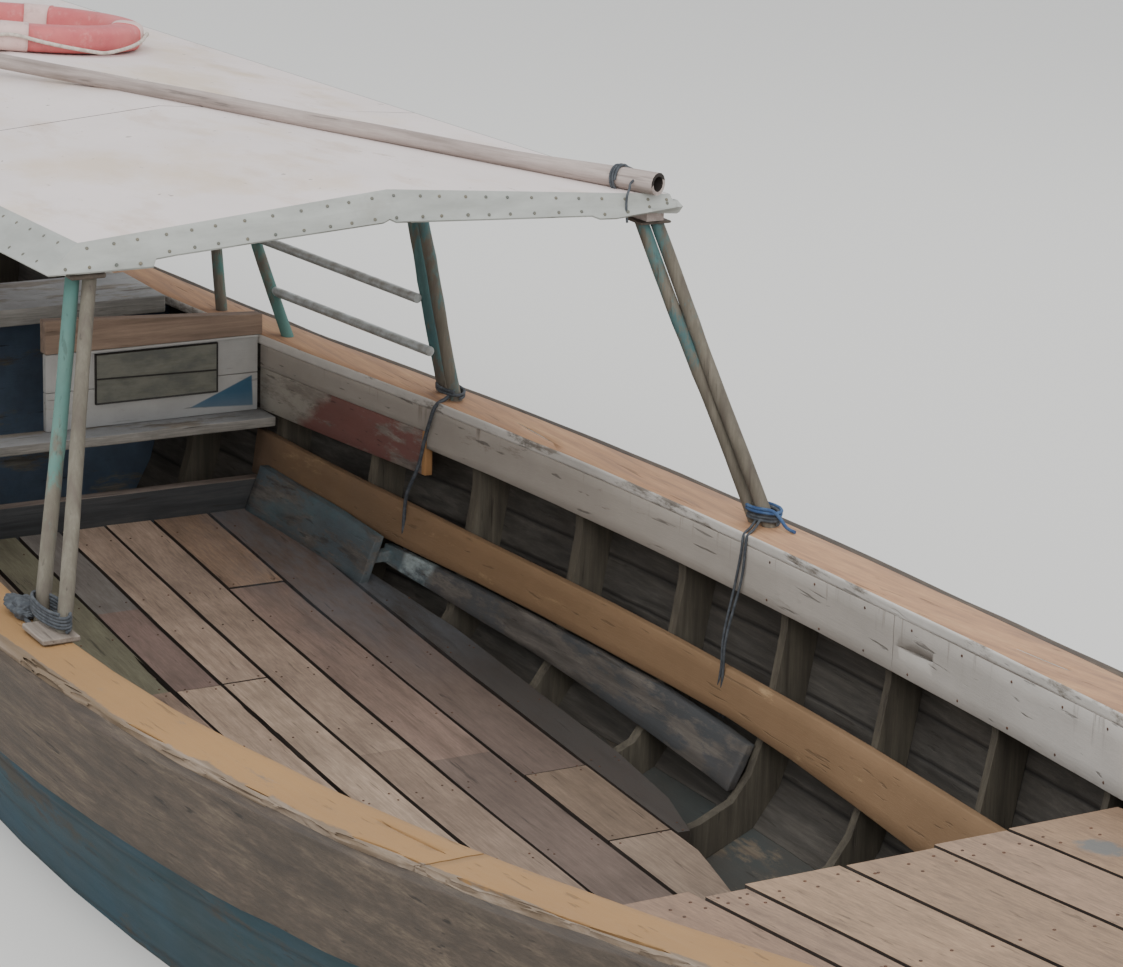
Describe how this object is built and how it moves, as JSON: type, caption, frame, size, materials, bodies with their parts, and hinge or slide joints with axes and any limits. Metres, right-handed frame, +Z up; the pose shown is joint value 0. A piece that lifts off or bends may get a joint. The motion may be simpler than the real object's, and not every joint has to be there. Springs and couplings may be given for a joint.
{
  "type": "longtail boat",
  "caption": "Open wooden longtail boat with a gabled roof on posts, a planked well, a foredeck, and an engine on a swivelling, tilting mount with a long propeller shaft.",
  "frame": {"origin": "on the centreline at the waterline, near the middle of the hull's length", "axes": "+X to the bow, +Y to port, +Z up"},
  "size_m": [12.056, 2.1578, 1.8509],
  "materials": {
    "blue_hull": "worn blue paint on planks",
    "bottom_wood": "dark coated planks",
    "weathered_wood": "weathered, rough",
    "ochre_cap": "worn, matt",
    "bare_cap": "worn, matt",
    "white_board": "worn white paint",
    "maroon_board": "worn paint",
    "stringer_wood": "worn, matt",
    "grey_board": "dirty grey paint",
    "rib_wood": "dirty, matt",
    "floor_wood": "worn planks",
    "deck_wood": "bare weathered planks",
    "beam_wood": "worn, matt",
    "ledge_wood": "worn pale paint",
    "plate": "painted, blank",
    "blue_inner": "worn blue paint",
    "roof_sheet": "chalky white paint on sheets",
    "fascia": "pale paint, worn",
    "turquoise": "worn turquoise paint",
    "bamboo": "grey weathered pole",
    "buoy": "faded red",
    "dark_steel": "dark paint, worn",
    "cast_metal": "as cast",
    "engine_red": "worn red paint",
    "alloy": "as cast",
    "steel": "bare tube",
    "brass": "worn",
    "tank_plastic": "translucent grey",
    "tiller_steel": "galvanised"
  },
  "bodies": {
    "boat": {"hull_bottom": "bottom_wood", "hull_side_port": "blue_hull", "hull_side_starboard": "blue_hull", "rub_strake_port": "weathered_wood", "rub_strake_starboard": "weathered_wood", "keel": "bottom_wood", "bow_block": "blue_hull", "transom": "blue_hull", "frames": "rib_wood", "cap_port": "bare_cap", "cap_starboard": "ochre_cap", "inner_board_port": "white_board", "inner_board_starboard": "white_board", "lower_board_port": "maroon_board", "lower_board_starboard": "maroon_board", "stringer_port": "stringer_wood", "stringer_starboard": "stringer_wood", "side_boards_port": "grey_board", "side_boards_starboard": "grey_board", "floor": "floor_wood", "foredeck": "deck_wood", "aft_deck": "deck_wood", "partition_beam": "beam_wood", "partition_boards": "white_board", "name_board": "plate", "ledge": "ledge_wood", "step_beam": "beam_wood", "aft_bulkhead": "blue_inner", "aft_bench": "ledge_wood", "roof_sheet_1": "roof_sheet", "roof_sheet_2": "roof_sheet", "roof_sheet_3": "roof_sheet", "roof_frame": "bamboo", "fascia": "fascia", "post_front_port": "turquoise", "post_front_starboard": "turquoise", "post_mid_port": "turquoise", "post_mid_starboard": "turquoise", "post_aft_port": "turquoise", "post_aft_starboard": "turquoise", "post_back_port": "turquoise", "post_back_starboard": "turquoise", "roof_pole": "bamboo", "lifebuoy": "buoy", "motor_bracket": "dark_steel"},
    "swivel": {"motor_yoke": "cast_metal"},
    "motor": {"engine_cradle": "dark_steel", "engine_block": "engine_red", "valve_cover": "alloy", "fan_and_pulleys": "dark_steel", "alternator": "alloy", "air_filter": "dark_steel", "exhaust": "dark_steel", "bell_housing": "cast_metal", "shaft_tube": "steel", "fuel_tank": "tank_plastic", "tiller": "tiller_steel"},
    "propeller": {"propeller": "brass"}
  },
  "joints": [
    {"name": "motor_swivel", "type": "hinge", "parent": "boat", "child": "swivel", "pos_m": [-4.56, 0, 0.55], "axis": [0, 0, 1], "range_deg": [-40, 40]},
    {"name": "motor_tilt", "type": "hinge", "parent": "swivel", "child": "motor", "pos_m": [-4.56, 0, 0.76], "axis": [0, 1, 0], "range_deg": [0, 25]},
    {"name": "propeller_spin", "type": "hinge", "parent": "motor", "child": "propeller", "pos_m": [-7.25864, 0, -0.15838], "axis": [0.9397, 0, 0.342], "continuous": true}
  ]
}
